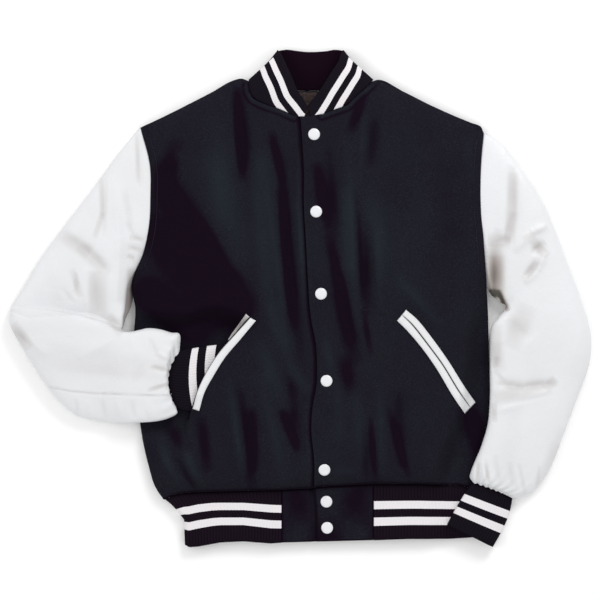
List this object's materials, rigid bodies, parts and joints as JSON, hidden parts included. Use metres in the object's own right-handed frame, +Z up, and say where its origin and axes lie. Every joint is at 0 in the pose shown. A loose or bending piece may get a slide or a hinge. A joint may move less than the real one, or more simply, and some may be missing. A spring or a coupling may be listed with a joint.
{
  "type": "varsity jacket",
  "caption": "Snap-front varsity jacket laid flat: black wool body, white leather sleeves and striped rib-knit collar, cuffs and hem band.",
  "frame": {"origin": "on the back panel's flat underside, in the middle of the body's width, 318 mm below the neck's side points", "axes": "+X to the wearer's left as the garment lies face up, +Y from the hem to the collar, +Z up out of the front"},
  "size_m": [0.843, 0.7243, 0.0438],
  "materials": {
    "wool": "black melton wool, brushed and matt",
    "leather": "white grained leather with a soft sheen",
    "knit": "black wool rib knit with two white stripes",
    "lining": "dark satin lining",
    "snap": "white glossy snap cap"
  },
  "bodies": {
    "root": {"back_panel": "wool", "front_left": "wool", "front_right": "wool", "neck_lining": "lining", "hem_rib": "knit", "tab_left": "wool", "tab_right": "wool", "collar_rib": "knit", "sleeve_left": "leather", "sleeve_right": "leather", "cuff_left": "knit", "cuff_right": "knit", "welt_left_front": "leather", "welt_left_back": "leather", "welt_right_upper": "leather", "welt_right_lower": "leather", "snap_1": "snap", "snap_2": "snap", "snap_3": "snap", "snap_4": "snap", "snap_5": "snap", "snap_6": "snap", "snap_7": "snap"}
  },
  "joints": []
}
